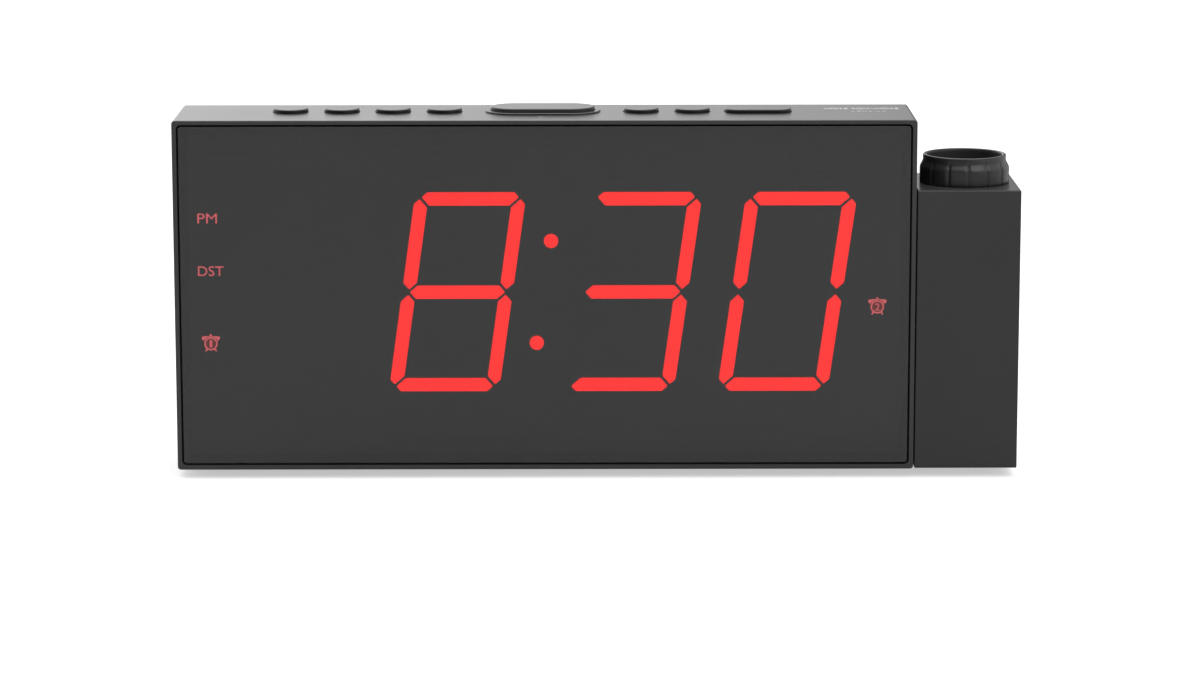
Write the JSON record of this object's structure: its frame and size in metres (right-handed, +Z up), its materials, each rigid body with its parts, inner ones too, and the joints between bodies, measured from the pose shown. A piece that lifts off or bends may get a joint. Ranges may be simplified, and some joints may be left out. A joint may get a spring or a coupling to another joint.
{
  "type": "projection alarm clock",
  "caption": "Rectangular bedside alarm clock with a large segment display, top keys and a swivelling end projector with a focus ring.",
  "frame": {"origin": "on the table under the middle of the whole clock", "axes": "+X along the face to the projector end, +Y from the face to the back, +Z up"},
  "size_m": [0.203, 0.0306, 0.0886],
  "materials": {
    "case_plastic": "fine matte texture",
    "window_smoke": "smoked, matte front",
    "lit_red": "lit from behind",
    "unlit_smoke": "dark, unlit",
    "reflector_black": "matte",
    "board_green": "solder mask",
    "part_black": "moulded",
    "lamp_amber": "cast resin",
    "zinc": "zinc plated",
    "nickel": "nickel plated",
    "can_metal": "drawn can",
    "key_plastic": "matte",
    "foot_rubber": "soft matte",
    "cone_paper": "pressed pulp",
    "ring_plastic": "satin gloss",
    "clear_resin": "clear",
    "lens_glass": "polished",
    "panel_glass": "display panel",
    "lead_black": "insulation",
    "tunnel_white": "reflective white"
  },
  "bodies": {
    "case": {"front_case": "case_plastic", "rear_cover": "case_plastic", "display_window": "window_smoke", "rubber_feet": "foot_rubber", "display_reflector": "reflector_black", "hours_segments": "lit_red", "tens_segments": "lit_red", "minutes_segments": "lit_red", "unlit_segments": "unlit_smoke", "colon_dots": "lit_red", "indicator_guides": "unlit_smoke", "display_board": "board_green", "segment_lamps": "lamp_amber", "clock_chip": "part_black", "crystal": "can_metal", "key_board": "board_green", "key_switches": "part_black", "power_board": "board_green", "power_socket": "part_black", "usb_socket": "nickel", "usb_tongue": "part_black", "capacitors": "part_black", "speaker_basket": "part_black", "speaker_cone": "cone_paper", "speaker_magnet": "zinc", "coin_cell": "nickel", "cell_contacts": "nickel", "case_screws": "zinc", "board_screws": "zinc", "swivel_washer": "zinc"},
    "time_key": {"time_key": "key_plastic"},
    "alarm_one_key": {"alarm_one_key": "key_plastic"},
    "alarm_two_key": {"alarm_two_key": "key_plastic"},
    "dst_key": {"dst_key": "key_plastic"},
    "snooze_bar": {"snooze_bar": "key_plastic"},
    "down_key": {"down_key": "key_plastic"},
    "up_key": {"up_key": "key_plastic"},
    "projection_key": {"projection_key": "key_plastic"},
    "battery_door": {"battery_door": "case_plastic"},
    "projector": {"projector_case": "case_plastic", "projector_cover": "case_plastic", "projector_screws": "zinc", "swivel_retainer": "part_black", "optics_frame": "part_black", "lamp_board": "board_green", "projector_lamp": "clear_resin", "light_tunnel": "tunnel_white", "condenser_lens": "lens_glass", "image_panel": "panel_glass", "lens_tube": "part_black", "projector_lead": "lead_black"},
    "focus_ring": {"focus_ring": "ring_plastic"},
    "lens_carrier": {"lens_carrier": "part_black", "front_lens": "lens_glass", "rear_lens": "lens_glass"}
  },
  "joints": [
    {"name": "time_key_press", "type": "slide", "parent": "case", "child": "time_key", "axis": [0, 0, -1], "range_m": [0, 0.0006], "stiffness_N_per_m": 2500},
    {"name": "alarm_one_key_press", "type": "slide", "parent": "case", "child": "alarm_one_key", "axis": [0, 0, -1], "range_m": [0, 0.0006], "stiffness_N_per_m": 2500},
    {"name": "alarm_two_key_press", "type": "slide", "parent": "case", "child": "alarm_two_key", "axis": [0, 0, -1], "range_m": [0, 0.0006], "stiffness_N_per_m": 2500},
    {"name": "dst_key_press", "type": "slide", "parent": "case", "child": "dst_key", "axis": [0, 0, -1], "range_m": [0, 0.0006], "stiffness_N_per_m": 2500},
    {"name": "snooze_bar_press", "type": "slide", "parent": "case", "child": "snooze_bar", "axis": [0, 0, -1], "range_m": [0, 0.0006], "stiffness_N_per_m": 2500},
    {"name": "down_key_press", "type": "slide", "parent": "case", "child": "down_key", "axis": [0, 0, -1], "range_m": [0, 0.0006], "stiffness_N_per_m": 2500},
    {"name": "up_key_press", "type": "slide", "parent": "case", "child": "up_key", "axis": [0, 0, -1], "range_m": [0, 0.0006], "stiffness_N_per_m": 2500},
    {"name": "projection_key_press", "type": "slide", "parent": "case", "child": "projection_key", "axis": [0, 0, -1], "range_m": [0, 0.0006], "stiffness_N_per_m": 2500},
    {"name": "battery_door_pull", "type": "slide", "parent": "case", "child": "battery_door", "axis": [0, 1, 0], "range_m": [0, 0.012]},
    {"name": "projector_swivel", "type": "hinge", "parent": "case", "child": "projector", "pos_m": [0.07643, 0, 0.0542], "axis": [1, 0, 0], "range_deg": [-90, 90]},
    {"name": "focus_turn", "type": "hinge", "parent": "projector", "child": "focus_ring", "pos_m": [0.0891, 0, 0.07015], "axis": [0, 0, 1], "range_deg": [-120, 120]},
    {"name": "lens_slide", "type": "slide", "parent": "projector", "child": "lens_carrier", "axis": [0, 0, 1], "range_m": [-0.002, 0.002]}
  ],
  "couplings": [
    {"joint": "lens_slide", "follows": "focus_turn", "m_per_rad": 0.000954}
  ]
}
